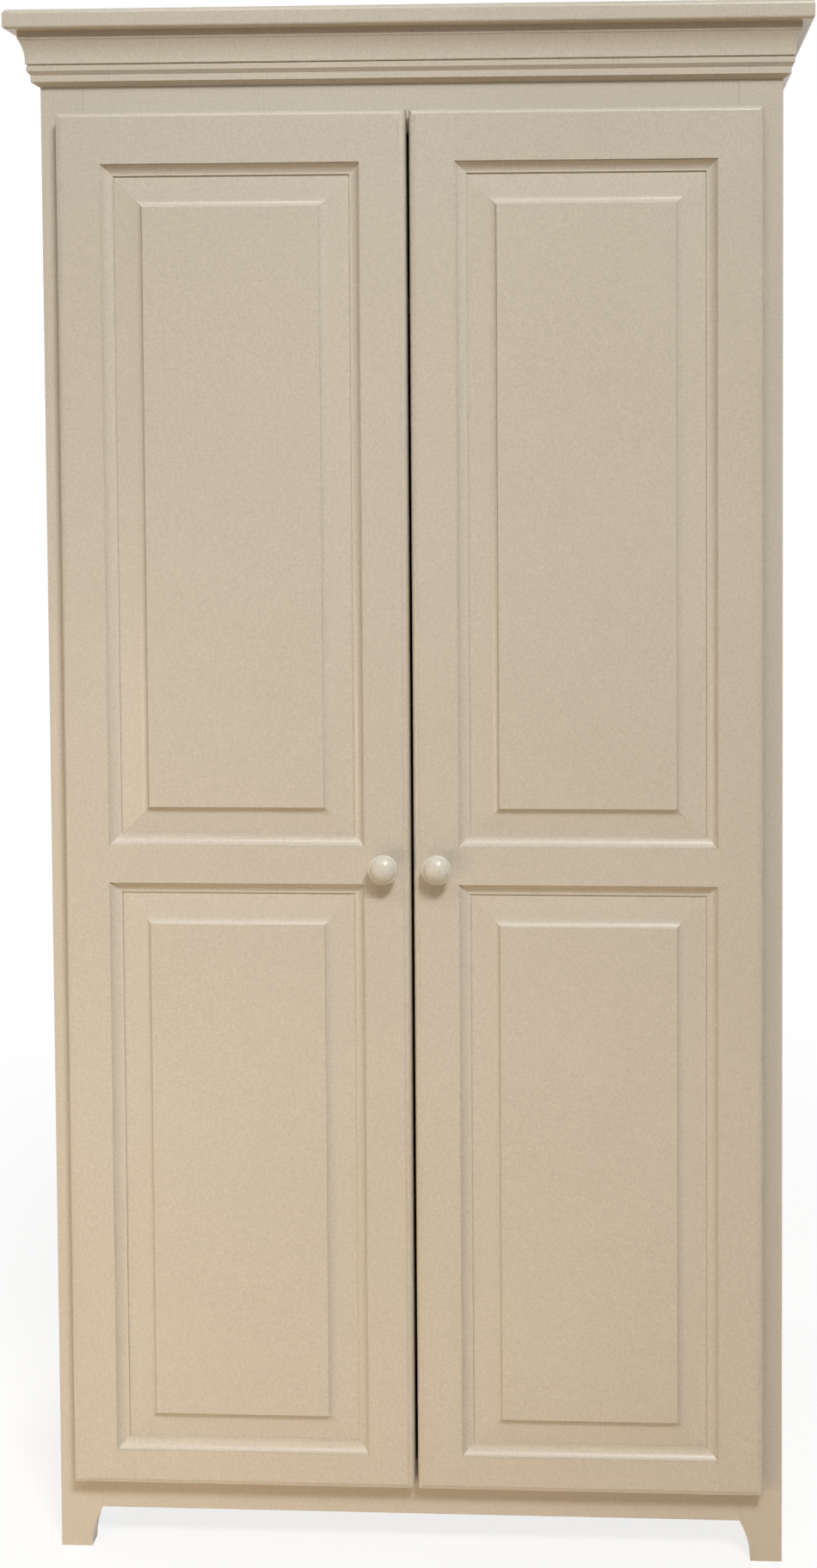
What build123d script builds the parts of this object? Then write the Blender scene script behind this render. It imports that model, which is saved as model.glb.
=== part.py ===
from build123d import *

import os
from math import cos, hypot, pi

# A painted two-door armoire in millimetres: X runs to the right, the doors face -Y, the floor is Z = 0

# Overall size of the case
overall_height = 1829.0
case_width = 864.0
case_depth = 533.0

# Boards of the case
side_thickness = 19.0
shelf_thickness = 19.0
back_thickness = 6.0
back_rail_thickness = 19.0
back_top_rail_height = 70.0
rabbet_depth = 9.5
dado_depth = 6.0

# Feet
foot_height = 48.5
foot_width = 37.0
side_front_foot = 40.0
side_rear_foot = 62.0
side_foot_flare = 13.0

# Top board
board_thickness = 23.0
board_side_overhang = 33.0
board_front_overhang = 32.0
board_top_round = 7.0
board_bottom_round = 3.5

# Crown moulding: reach is out from the case, drop is down from the top board
crown_height = 61.0
crown_fillet_reach = 20.0
crown_fillet_drop = 9.3
crown_step = 1.2
crown_cove_reach = 13.4
crown_cove_drop = 36.5
crown_cove_hollow = 1.8
crown_quirk_reach = 10.8
crown_quirk_drop = 37.6
crown_upper_band_reach = 12.2
crown_upper_band_top = 39.2
crown_upper_band_drop = 44.5
crown_lower_band_reach = 8.7
crown_lower_band_top = 49.1
crown_lower_band_drop = 56.5
crown_toe_reach = 1.5

# Face frame
frame_thickness = 19.0
frame_stile_width = 50.0
frame_top_rail_height = 118.0
frame_bottom_rail_height = 66.5
tenon_length = 22.0
tenon_thickness = 8.0
tenon_shoulder = 12.0
tenon_clearance = 0.15

# Hat shelf and clothes rod
hat_shelf_top = 1499.0
shelf_clearance = 0.5
cleat_thickness = 20.0
cleat_height = 40.0
cleat_nose = 20.0
rod_radius = 16.0
rod_drop = 6.0
rod_setback = 262.0
rod_clearance = 0.3
socket_base_radius = 30.0
socket_base_thickness = 4.0
socket_wall = 4.0
socket_reach = 16.0
socket_screw_offset = 25.0

# Doors
door_overlay_side = 27.0
door_overlay_top = 23.0
door_overlay_bottom = 24.0
door_gap = 4.0
door_thickness = 20.0
door_stand_off = 3.0
stile_face = 53.0
top_rail_face = 59.5
lock_rail_face = 43.7
bottom_rail_face = 41.5
lock_rail_center = 835.6
edge_round = 6.0
edge_step = 1.0
back_ease = 3.5

# Moulded inner edge of the door frames, with its groove for the panels
sticking_width = 12.8
sticking_step = 1.5
sticking_quirk = 1.2
sticking_fillet = 2.3
sticking_drop = 8.0
sticking_hollow = 1.2
groove_front = 9.6
groove_width = 6.4
groove_depth = 9.0

# Raised panels
panel_play = 2.0
panel_fit = 0.2
bevel_width = 35.0
taper_width = 25.0
taper_rise = 2.0
bevel_hollow = 1.25
field_step = 1.2
field_sink = 1.4

# Knobs
knob_inset = 29.0
knob_radius = 17.5
knob_base_radius = 9.5
knob_neck_radius = 8.0
knob_neck_reach = 6.0
knob_rim_reach = 18.0
knob_rim_width = 4.0
knob_base_hollow = 0.6
knob_flare_hollow = 2.0
knob_reach = 28.0
knob_screw_radius = 2.0
knob_screw_depth = 12.0
knob_screw_head_radius = 4.5
knob_screw_head_height = 2.4

# Concealed hinges: inset is in from the door's outer edge, depth is in from the door's back
hinge_end_distance = 110.0
pivot_inset = 8.5
pivot_depth = 9.0
pin_radius = 1.4
pin_half_length = 9.0
pin_play = 0.1
pin_fit = 0.05
eye_radius = 2.6
neck_thickness = 2.4
arm_thickness = 2.0
arm_half_height = 5.0
plate_half_height = 14.0
plate_margin = 1.0
plate_screw_offset = 8.5
cup_radius = 17.4
cup_inset = 22.0
cup_depth = 12.8
cup_fit = 0.15
pocket_half_height = 5.6
pocket_depth = 12.0
pocket_wall = 1.4
flange_thickness = 1.2
flange_width = 23.0
flange_half_height = 28.0
flange_corner = 6.0
flange_screw_setback = 9.5
flange_screw_offset = 22.0

# Wood screws of the hinges and sockets
screw_radius = 1.6
screw_length = 14.0
screw_head_radius = 3.4
screw_head_height = 1.5
screw_head_taper = 30.0
screw_clearance = 0.15

# Bumpers on the backs of the doors
bumper_radius = 4.5
bumper_inset = 30.0
bumper_end_distance = 12.0
bumper_clearance = 0.3

# Planes of the case, from the front of the knobs to the back, with the origin midway between them
knob_front = door_stand_off + door_thickness + knob_reach
overall_depth = knob_front + case_depth
face_y = knob_front - overall_depth / 2
frame_back_y = face_y + frame_thickness
back_y = face_y + case_depth
back_panel_y = back_y - back_thickness
side_x = case_width / 2
inner_x = side_x - side_thickness
case_top = overall_height - board_thickness

# The opening in the face frame and the bottom of the case
opening_x = side_x - frame_stile_width
opening_top = case_top - frame_top_rail_height
opening_bottom = foot_height + frame_bottom_rail_height
floor_bottom = opening_bottom - shelf_thickness

# The right-hand door
door_back_y = face_y - door_stand_off
door_face_y = door_back_y - door_thickness
door_outer_x = opening_x + door_overlay_side
door_inner_x = door_gap / 2
door_top = opening_top + door_overlay_top
door_bottom = opening_bottom - door_overlay_bottom
panel_left_x = door_inner_x + stile_face
panel_right_x = door_outer_x - stile_face
upper_top = door_top - top_rail_face
upper_bottom = lock_rail_center + lock_rail_face / 2
lower_top = lock_rail_center - lock_rail_face / 2
lower_bottom = door_bottom + bottom_rail_face
groove_back = groove_front + groove_width

# Hinge places
pivot_x = door_outer_x - pivot_inset
pivot_y = door_back_y - pivot_depth
cup_x = door_outer_x - cup_inset
hinge_heights = {
    "top": door_top - hinge_end_distance,
    "middle": (door_top + door_bottom) / 2,
    "bottom": door_bottom + hinge_end_distance,
}
bumper_heights = [door_top - bumper_end_distance, door_bottom + bumper_end_distance]

# Shelf and rod places
hat_shelf_bottom = hat_shelf_top - shelf_thickness
rod_y = face_y + rod_setback
rod_z = hat_shelf_bottom - cleat_height - rod_drop - socket_base_radius
socket_x = inner_x - socket_base_thickness

# Planes on which the heads of the right-hand screws sit
socket_screw_seats = [
    Plane(origin=(socket_x, rod_y + offset, rod_z), z_dir=(-1, 0, 0))
    for offset in (-socket_screw_offset, socket_screw_offset)
]
arm_screw_seats = {
    place: [
        Plane(
            origin=(opening_x - arm_thickness, face_y + frame_thickness / 2, height + offset),
            z_dir=(-1, 0, 0),
        )
        for offset in (-plate_screw_offset, plate_screw_offset)
    ]
    for place, height in hinge_heights.items()
}
flange_screw_seats = {
    place: [
        Plane(
            origin=(cup_x - flange_screw_setback, door_back_y + flange_thickness, height + offset),
            z_dir=(0, 1, 0),
        )
        for offset in (-flange_screw_offset, flange_screw_offset)
    ]
    for place, height in hinge_heights.items()
}

os.makedirs("parts", exist_ok=True)


def write(piece, node):
    """Label a finished piece and write it."""
    piece.part.label = node
    export_step(piece.part, f"parts/{node}.step")


def write_pair(piece, name, place=""):
    """Write a right-hand piece and its mirror image on the left."""
    write(piece, f"{name}_right{place}")
    with BuildPart() as left_piece:
        mirror(piece.part, about=Plane.YZ)
    write(left_piece, f"{name}_left{place}")


def bar(x_span, y_span, z_span, mode=Mode.ADD):
    """A square-cut piece between two places on each axis."""
    spans = (x_span, y_span, z_span)
    with Locations(tuple((low + high) / 2 for low, high in spans)):
        Box(*(high - low for low, high in spans), mode=mode)


def bowed(start, end, bow):
    """The middle of an arc that bows to the left of the way from start to end."""
    run = end[0] - start[0]
    rise = end[1] - start[1]
    length = hypot(run, rise)
    return ((start[0] + end[0]) / 2 - bow * rise / length, (start[1] + end[1]) / 2 + bow * run / length)


def bowed_arc(place, start, end, bow):
    """Draw an arc between two points of a profile, where place puts each point in the sketch."""
    ThreePointArc(place(*start), place(*bowed(start, end, bow)), place(*end))


def quarter_round(place, start, end, radius):
    """Draw a quarter circle that bows to the left of the way from start to end."""
    bowed_arc(place, start, end, radius * (1 - cos(pi / 4)))


def outer_edge(place):
    """Draw a door's outer edge from its face to its back, with place(inset, depth)."""
    shoulder = edge_round + edge_step
    Polyline(place(shoulder, 0), place(shoulder, edge_step), place(edge_round, edge_step))
    quarter_round(place, (edge_round, edge_step), (0, shoulder), edge_round)
    Line(place(0, shoulder), place(0, door_thickness - back_ease))
    quarter_round(place, (0, door_thickness - back_ease), (back_ease, door_thickness), back_ease)


def stuck_edge(place):
    """Draw a moulded inner edge from the face round the groove to the back, with place(reach, depth)."""
    cove_start = (sticking_quirk, sticking_step)
    cove_end = (sticking_width - sticking_fillet, sticking_drop)
    groove_floor = sticking_width - groove_depth
    Polyline(place(0, 0), place(0, sticking_step), place(*cove_start))
    bowed_arc(place, cove_start, cove_end, sticking_hollow)
    Polyline(
        place(*cove_end),
        place(sticking_width, sticking_drop),
        place(sticking_width, groove_front),
        place(groove_floor, groove_front),
        place(groove_floor, groove_back),
        place(sticking_width, groove_back),
        place(sticking_width, door_thickness),
    )


def raised_edge(place):
    """Draw a panel's edge from its back to its field, with place(inset, depth)."""
    tongue = groove_depth - panel_play
    front = groove_front + panel_fit
    back = groove_back - panel_fit
    taper_end = (tongue + taper_width, front - taper_rise)
    field_foot = (tongue + bevel_width, field_sink + field_step)
    Polyline(place(0, back), place(0, front), place(tongue, front), place(*taper_end))
    bowed_arc(place, taper_end, field_foot, bevel_hollow)
    Line(place(*field_foot), place(field_foot[0], field_sink))


def screw(seat):
    """A wood screw that goes down into the seat plane, with its head on it."""
    with BuildSketch(seat) as shank:
        Circle(screw_radius)
    with BuildSketch(seat) as head:
        Circle(screw_head_radius)
    extrude(shank.sketch, amount=-screw_length)
    extrude(head.sketch, amount=screw_head_height, taper=screw_head_taper)


def screw_hole(seat):
    """The way of that screw through what it holds and into the wood."""
    with BuildSketch(seat) as hole:
        Circle(screw_radius + screw_clearance)
    extrude(hole.sketch, amount=-screw_length - screw_clearance, mode=Mode.SUBTRACT)


# Side panels, cut away between the feet, with a dado for the floor of the case and a rabbet for its back
with BuildPart() as side_panel:
    front_foot_y = frame_back_y + side_front_foot
    rear_foot_y = back_y - side_rear_foot
    with BuildSketch(Plane.YZ.offset(inner_x)):
        with BuildLine():
            Line((frame_back_y, 0), (front_foot_y, 0))
            TangentArc((front_foot_y, 0), (front_foot_y + side_foot_flare, foot_height), tangent=(0, 1))
            Line((front_foot_y + side_foot_flare, foot_height), (rear_foot_y - side_foot_flare, foot_height))
            TangentArc((rear_foot_y, 0), (rear_foot_y - side_foot_flare, foot_height), tangent=(0, 1))
            Polyline(
                (rear_foot_y, 0),
                (back_y, 0),
                (back_y, case_top),
                (frame_back_y, case_top),
                (frame_back_y, 0),
            )
        make_face()
    extrude(amount=side_thickness)
    bar(
        (inner_x, inner_x + dado_depth),
        (frame_back_y, back_panel_y),
        (floor_bottom, opening_bottom),
        mode=Mode.SUBTRACT,
    )
    bar(
        (inner_x, inner_x + rabbet_depth),
        (back_panel_y, back_y),
        (floor_bottom, case_top),
        mode=Mode.SUBTRACT,
    )
    for seat in socket_screw_seats:
        screw_hole(seat)
write_pair(side_panel, "side_panel")

# Floor of the case, in the dados
with BuildPart() as bottom_panel:
    bar(
        (-inner_x - dado_depth, inner_x + dado_depth),
        (frame_back_y, back_panel_y),
        (floor_bottom, opening_bottom),
    )
write(bottom_panel, "bottom_panel")

# Thin back, in the rabbets
with BuildPart() as back_panel:
    bar((-inner_x - rabbet_depth, inner_x + rabbet_depth), (back_panel_y, back_y), (floor_bottom, case_top))
write(back_panel, "back_panel")

# Rails between the sides at the back
with BuildPart() as back_top_rail:
    bar(
        (-inner_x, inner_x),
        (back_panel_y - back_rail_thickness, back_panel_y),
        (case_top - back_top_rail_height, case_top),
    )
write(back_top_rail, "back_top_rail")

with BuildPart() as back_bottom_rail:
    bar((-inner_x, inner_x), (back_y - back_rail_thickness, back_y), (foot_height, floor_bottom))
write(back_bottom_rail, "back_bottom_rail")

# Top board, eased along its front and its two ends
with BuildPart() as top_board:
    board_x = side_x + board_side_overhang
    bar((-board_x, board_x), (face_y - board_front_overhang, back_y), (case_top, overall_height))
    upper_edges = top_board.faces().sort_by(Axis.Z)[-1].edges().sort_by(Axis.Y)[:-1]
    fillet(upper_edges, board_top_round)
    lower_edges = top_board.faces().sort_by(Axis.Z)[0].edges().sort_by(Axis.Y)[:-1]
    fillet(lower_edges, board_bottom_round)
write(top_board, "top_board")


def crown_profile(place):
    """Draw the crown's section, with place(reach, drop)."""
    cove_top = (crown_fillet_reach - crown_step, crown_fillet_drop + crown_step)
    cove_bottom = (crown_cove_reach, crown_cove_drop)
    Polyline(
        place(*cove_bottom),
        place(crown_quirk_reach, crown_quirk_drop),
        place(crown_upper_band_reach, crown_upper_band_top),
        place(crown_upper_band_reach, crown_upper_band_drop),
        place(crown_lower_band_reach, crown_lower_band_top),
        place(crown_lower_band_reach, crown_lower_band_drop),
        place(crown_toe_reach, crown_height),
        place(0, crown_height),
        place(0, 0),
        place(crown_fillet_reach, 0),
        place(crown_fillet_reach, crown_fillet_drop),
        place(*cove_top),
    )
    bowed_arc(place, cove_top, cove_bottom, crown_cove_hollow)


# Crown moulding, mitred at the two front corners
crown_mitre = Plane(origin=(side_x, face_y, 0), z_dir=(1, 1, 0))
left_crown_mitre = Plane(origin=(-side_x, face_y, 0), z_dir=(-1, 1, 0))
with BuildPart() as crown_front:
    with BuildSketch(Plane.YZ):
        with BuildLine():
            crown_profile(lambda reach, drop: (face_y - reach, case_top - drop))
        make_face()
    extrude(amount=side_x + crown_fillet_reach, both=True)
    split(bisect_by=crown_mitre, keep=Keep.BOTTOM)
    split(bisect_by=left_crown_mitre, keep=Keep.BOTTOM)
write(crown_front, "crown_front")

with BuildPart() as crown_side:
    with BuildSketch(Plane.XZ.offset(-back_y)):
        with BuildLine():
            crown_profile(lambda reach, drop: (side_x + reach, case_top - drop))
        make_face()
    extrude(amount=case_depth + crown_fillet_reach)
    split(bisect_by=crown_mitre, keep=Keep.TOP)
write_pair(crown_side, "crown")

# Face frame: mortised stiles that run to the floor, and tenoned rails
frame_rails = {
    "frame_top_rail": (opening_top, case_top),
    "frame_bottom_rail": (foot_height, opening_bottom),
}
tenon_y = (
    face_y + (frame_thickness - tenon_thickness) / 2,
    face_y + (frame_thickness + tenon_thickness) / 2,
)
with BuildPart() as frame_stile:
    with BuildSketch(Plane.XZ.offset(-frame_back_y)):
        with BuildLine():
            TangentArc((side_x - foot_width, 0), (opening_x, foot_height), tangent=(0, 1))
            Polyline(
                (opening_x, foot_height),
                (opening_x, case_top),
                (side_x, case_top),
                (side_x, 0),
                (side_x - foot_width, 0),
            )
        make_face()
    extrude(amount=frame_thickness)
    for rail_bottom, rail_top in frame_rails.values():
        bar(
            (opening_x, opening_x + tenon_length + tenon_clearance),
            (tenon_y[0] - tenon_clearance, tenon_y[1] + tenon_clearance),
            (rail_bottom + tenon_shoulder - tenon_clearance, rail_top - tenon_shoulder + tenon_clearance),
            mode=Mode.SUBTRACT,
        )
    for seats in arm_screw_seats.values():
        for seat in seats:
            screw_hole(seat)
write_pair(frame_stile, "frame_stile")

for rail_name, (rail_bottom, rail_top) in frame_rails.items():
    with BuildPart() as frame_rail:
        bar((-opening_x, opening_x), (face_y, frame_back_y), (rail_bottom, rail_top))
        bar(
            (-opening_x - tenon_length, opening_x + tenon_length),
            tenon_y,
            (rail_bottom + tenon_shoulder, rail_top - tenon_shoulder),
        )
    write(frame_rail, rail_name)

# Hat shelf and the cleats that carry it
with BuildPart() as hat_shelf:
    bar(
        (-inner_x + shelf_clearance, inner_x - shelf_clearance),
        (frame_back_y + shelf_clearance, back_panel_y - shelf_clearance),
        (hat_shelf_bottom, hat_shelf_top),
    )
write(hat_shelf, "hat_shelf")

with BuildPart() as shelf_cleat:
    with BuildSketch(Plane.YZ.offset(inner_x - cleat_thickness)):
        with BuildLine():
            Polyline(
                (frame_back_y, hat_shelf_bottom),
                (back_panel_y, hat_shelf_bottom),
                (back_panel_y, hat_shelf_bottom - cleat_height),
                (frame_back_y + cleat_nose, hat_shelf_bottom - cleat_height),
                (frame_back_y, hat_shelf_bottom - cleat_height + cleat_nose),
                close=True,
            )
        make_face()
    extrude(amount=cleat_thickness)
write_pair(shelf_cleat, "shelf_cleat")

# Clothes rod, in a ring on one side and an open-topped cradle on the other
with BuildPart() as clothes_rod:
    with BuildSketch(Plane.YZ):
        with Locations((rod_y, rod_z)):
            Circle(rod_radius)
    extrude(amount=socket_x - rod_clearance, both=True)
write(clothes_rod, "clothes_rod")

with BuildPart() as rod_ring:
    bore_radius = rod_radius + rod_clearance
    with BuildSketch(Plane.YZ.offset(inner_x)):
        with Locations((rod_y, rod_z)):
            Circle(socket_base_radius)
    extrude(amount=-socket_base_thickness)
    with BuildSketch(Plane.YZ.offset(socket_x)):
        with Locations((rod_y, rod_z)):
            Circle(bore_radius + socket_wall)
            Circle(bore_radius, mode=Mode.SUBTRACT)
    extrude(amount=-socket_reach)
    for seat in socket_screw_seats:
        screw_hole(seat)
with BuildPart() as rod_socket_left:
    mirror(rod_ring.part, about=Plane.YZ)
write(rod_socket_left, "rod_socket_left")

with BuildPart() as rod_socket_right:
    add(rod_ring.part)
    bar(
        (socket_x - socket_reach, socket_x),
        (rod_y - bore_radius, rod_y + bore_radius),
        (rod_z, rod_z + socket_base_radius),
        mode=Mode.SUBTRACT,
    )
write(rod_socket_right, "rod_socket_right")

with BuildPart() as rod_socket_screws:
    for seat in socket_screw_seats:
        screw(seat)
    mirror(about=Plane.YZ)
write(rod_socket_screws, "rod_socket_screws")


def door_end(place_z, outward):
    """Say where a point of the door's top or bottom edge lies, seen from the door's side."""
    return lambda inset, depth: (door_face_y + depth, place_z - outward * inset)


def rail_edge(place_z, outward):
    """Say where a point of a rail's moulded edge lies, seen from the door's side."""
    return lambda reach, depth: (door_face_y + depth, place_z + outward * reach)


def stile_section(edge_x, inward):
    """Draw a door stile's section from its outer edge to its moulded edge."""

    def edge(inset, depth):
        return (edge_x + inward * inset, door_face_y + depth)

    def moulding(reach, depth):
        return edge(stile_face + reach, depth)

    outer_edge(edge)
    stuck_edge(moulding)
    Line(edge(edge_round + edge_step, 0), moulding(0, 0))
    Line(edge(back_ease, door_thickness), moulding(sticking_width, door_thickness))


def door_side_outline():
    """Draw the whole door seen from its side, with its shaped top and bottom edges."""
    top = door_end(door_top, 1)
    bottom = door_end(door_bottom, -1)
    outer_edge(top)
    outer_edge(bottom)
    Line(top(edge_round + edge_step, 0), bottom(edge_round + edge_step, 0))
    Line(top(back_ease, door_thickness), bottom(back_ease, door_thickness))


def end_rail_section(edge, moulding):
    """Draw the section of a rail that is the door's top or bottom edge."""
    outer_edge(edge)
    stuck_edge(moulding)
    Line(edge(edge_round + edge_step, 0), moulding(0, 0))
    Line(edge(back_ease, door_thickness), moulding(sticking_width, door_thickness))


def lock_rail_section():
    """Draw the section of the rail between the two panels, moulded on both edges."""
    upper = rail_edge(upper_bottom, 1)
    lower = rail_edge(lower_top, -1)
    stuck_edge(upper)
    stuck_edge(lower)
    Line(upper(0, 0), lower(0, 0))
    Line(upper(sticking_width, door_thickness), lower(sticking_width, door_thickness))


def panel_section(place, low, high):
    """Draw a raised panel's section between two edges, with place(along, depth)."""

    def low_edge(inset, depth):
        return place(low + inset, depth)

    def high_edge(inset, depth):
        return place(high - inset, depth)

    field_inset = groove_depth - panel_play + bevel_width
    back = groove_back - panel_fit
    raised_edge(low_edge)
    raised_edge(high_edge)
    Line(low_edge(field_inset, field_sink), high_edge(field_inset, field_sink))
    Line(low_edge(0, back), high_edge(0, back))


# Door stiles: the moulded section at full height, cut to the shape of the door's ends
stile_edges = {"hinge_stile": (door_outer_x, -1), "meeting_stile": (door_inner_x, 1)}
stiles = {}
for stile_name, (edge_x, inward) in stile_edges.items():
    with BuildPart() as door_stile:
        with BuildSketch(Plane.XY.offset(door_bottom)):
            with BuildLine():
                stile_section(edge_x, inward)
            make_face()
        extrude(amount=door_top - door_bottom)
        with BuildSketch(Plane.YZ):
            with BuildLine():
                door_side_outline()
            make_face()
        extrude(amount=door_outer_x, mode=Mode.INTERSECT)
    stiles[stile_name] = door_stile

# Bores for the hinge cups and their screws
with BuildPart() as hinge_stile:
    add(stiles["hinge_stile"].part)
    with BuildSketch(Plane.XZ.offset(-door_back_y)):
        with Locations(*((cup_x, height) for height in hinge_heights.values())):
            Circle(cup_radius + cup_fit)
    extrude(amount=cup_depth + cup_fit, mode=Mode.SUBTRACT)
    for seats in flange_screw_seats.values():
        for seat in seats:
            screw_hole(seat)
write_pair(hinge_stile, "hinge_stile")

# A hole for the knob's screw
knob_x = door_inner_x + knob_inset
with BuildPart() as meeting_stile:
    add(stiles["meeting_stile"].part)
    with BuildSketch(Plane.XZ.offset(-door_back_y)):
        with Locations((knob_x, lock_rail_center)):
            Circle(knob_screw_radius + screw_clearance)
    extrude(amount=door_thickness, mode=Mode.SUBTRACT)
write_pair(meeting_stile, "meeting_stile")

# Door rails, with ends coped to fit over the moulded edges of the stiles
rail_sections = {
    "door_top_rail": lambda: end_rail_section(door_end(door_top, 1), rail_edge(upper_top, -1)),
    "door_lock_rail": lock_rail_section,
    "door_bottom_rail": lambda: end_rail_section(door_end(door_bottom, -1), rail_edge(lower_bottom, 1)),
}
for rail_name, draw_section in rail_sections.items():
    with BuildPart() as door_rail:
        with BuildSketch(Plane.YZ.offset(panel_left_x)):
            with BuildLine():
                draw_section()
            make_face()
        extrude(amount=panel_right_x - panel_left_x)
        for stile in stiles.values():
            add(stile.part, mode=Mode.SUBTRACT)
    write_pair(door_rail, rail_name)

# Raised panels, which float in the grooves and stand on the lower one
groove_reach = groove_depth - sticking_width
panel_heights = {"upper_panel": (upper_bottom, upper_top), "lower_panel": (lower_bottom, lower_top)}
for panel_name, (sight_bottom, sight_top) in panel_heights.items():
    panel_bottom = sight_bottom - groove_reach
    panel_top = sight_top + groove_reach - 2 * panel_play
    with BuildPart() as door_panel:
        with BuildSketch(Plane.XY.offset(panel_bottom)):
            with BuildLine():
                panel_section(
                    lambda along, depth: (along, door_face_y + depth),
                    panel_left_x - groove_reach + panel_play,
                    panel_right_x + groove_reach - panel_play,
                )
            make_face()
        extrude(amount=panel_top - panel_bottom)
        with BuildSketch(Plane.YZ):
            with BuildLine():
                panel_section(lambda along, depth: (door_face_y + depth, along), panel_bottom, panel_top)
            make_face()
        extrude(amount=door_outer_x, mode=Mode.INTERSECT)
    write_pair(door_panel, panel_name)


def knob_point(radius, reach):
    """A point of the knob's outline, out from its axis and forward of the door."""
    return (knob_x + radius, door_face_y - reach)


# Turned knobs
with BuildPart() as knob:
    knob_neck = (knob_neck_radius, knob_neck_reach)
    rim_radius = knob_radius - knob_rim_width / 2
    rim_back = (rim_radius, knob_rim_reach - knob_rim_width / 2)
    rim_front = (rim_radius, knob_rim_reach + knob_rim_width / 2)
    with BuildSketch(Plane.XY.offset(lock_rail_center)):
        with BuildLine():
            Polyline(knob_point(0, knob_reach), knob_point(0, 0), knob_point(knob_base_radius, 0))
            bowed_arc(knob_point, (knob_base_radius, 0), knob_neck, knob_base_hollow)
            bowed_arc(knob_point, knob_neck, rim_back, knob_flare_hollow)
            ThreePointArc(
                knob_point(*rim_back),
                knob_point(knob_radius, knob_rim_reach),
                knob_point(*rim_front),
            )
            TangentArc(knob_point(0, knob_reach), knob_point(*rim_front), tangent=(1, 0))
        make_face()
    revolve(axis=Axis((knob_x, door_face_y, lock_rail_center), (0, 1, 0)))
    with BuildSketch(Plane.XZ.offset(-door_face_y)):
        with Locations((knob_x, lock_rail_center)):
            Circle(knob_screw_radius + screw_clearance)
    extrude(amount=knob_screw_depth + screw_clearance, mode=Mode.SUBTRACT)
write_pair(knob, "knob")

# Screws that hold the knobs from behind the doors
with BuildPart() as knob_screw:
    with BuildSketch(Plane.XZ.offset(-door_back_y)):
        with Locations((knob_x, lock_rail_center)):
            Circle(knob_screw_radius)
    extrude(amount=door_thickness + knob_screw_depth)
    with BuildSketch(Plane.XZ.offset(-door_back_y)):
        with Locations((knob_x, lock_rail_center)):
            Circle(knob_screw_head_radius)
    extrude(amount=-knob_screw_head_height, taper=screw_head_taper)
write_pair(knob_screw, "knob_screw")

# Bumpers behind the free corners of the doors
with BuildPart() as bumpers:
    with BuildSketch(Plane.XZ.offset(-door_back_y)):
        with Locations(*((door_inner_x + bumper_inset, height) for height in bumper_heights)):
            Circle(bumper_radius)
    extrude(amount=bumper_clearance - door_stand_off)
write_pair(bumpers, "bumpers")

# Hinge arms, on the inner edges of the frame stiles, each reaching forward to an eye on the pivot
neck_front_y = pivot_y - eye_radius
neck_back_y = neck_front_y + neck_thickness
leg_x = opening_x - arm_thickness
plate_y = (face_y + plate_margin, frame_back_y - plate_margin)
for place, height in hinge_heights.items():
    with BuildPart() as hinge_arm:
        with BuildSketch(Plane.XY.offset(height)):
            with BuildLine():
                Polyline(
                    (pivot_x, neck_front_y),
                    (leg_x, neck_front_y),
                    (leg_x, plate_y[1]),
                    (opening_x, plate_y[1]),
                    (opening_x, neck_back_y),
                    (pivot_x, neck_back_y),
                    close=True,
                )
            make_face()
            with Locations((pivot_x, pivot_y)):
                Circle(eye_radius)
                Circle(pin_radius + pin_play, mode=Mode.SUBTRACT)
        extrude(amount=arm_half_height, both=True)
        bar((leg_x, opening_x), plate_y, (height - plate_half_height, height + plate_half_height))
        for seat in arm_screw_seats[place]:
            screw_hole(seat)
    write_pair(hinge_arm, "hinge_arm", f"_{place}")

with BuildPart() as hinge_arm_screws:
    for seats in arm_screw_seats.values():
        for seat in seats:
            screw(seat)
    mirror(about=Plane.YZ)
write(hinge_arm_screws, "hinge_arm_screws")

# Hinge cups, let into the backs of the doors, with a pocket for the arm and holes for the pin
cup_far_x = cup_x - cup_radius
for place, height in hinge_heights.items():
    with BuildPart() as hinge_cup:
        with BuildSketch(Plane.XZ.offset(-door_back_y)):
            with Locations((cup_x, height)):
                Circle(cup_radius)
        extrude(amount=cup_depth)
        with BuildSketch(Plane.XZ.offset(-door_back_y)):
            with Locations((cup_far_x + flange_width / 2, height)):
                RectangleRounded(flange_width, 2 * flange_half_height, flange_corner)
        extrude(amount=-flange_thickness)
        bar(
            (cup_far_x + pocket_wall, door_outer_x),
            (door_back_y - pocket_depth, door_back_y + flange_thickness),
            (height - pocket_half_height, height + pocket_half_height),
            mode=Mode.SUBTRACT,
        )
        with BuildSketch(Plane.XY.offset(height)):
            with Locations((pivot_x, pivot_y)):
                Circle(pin_radius + pin_fit)
        extrude(amount=pin_half_length + pin_fit, both=True, mode=Mode.SUBTRACT)
        for seat in flange_screw_seats[place]:
            screw_hole(seat)
    write_pair(hinge_cup, "hinge_cup", f"_{place}")

with BuildPart() as hinge_cup_screws:
    for seats in flange_screw_seats.values():
        for seat in seats:
            screw(seat)
write_pair(hinge_cup_screws, "hinge_cup_screws")

with BuildPart() as hinge_pins:
    for height in hinge_heights.values():
        with BuildSketch(Plane.XY.offset(height)):
            with Locations((pivot_x, pivot_y)):
                Circle(pin_radius)
        extrude(amount=pin_half_length, both=True)
write_pair(hinge_pins, "hinge_pins")
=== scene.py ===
"""Looks of the painted two-door armoire: its finishes and fasteners, the studio and the camera."""

import logging
import math
from dataclasses import dataclass
from enum import Enum

import bmesh
import bpy
from mathutils import Matrix, Vector


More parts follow.
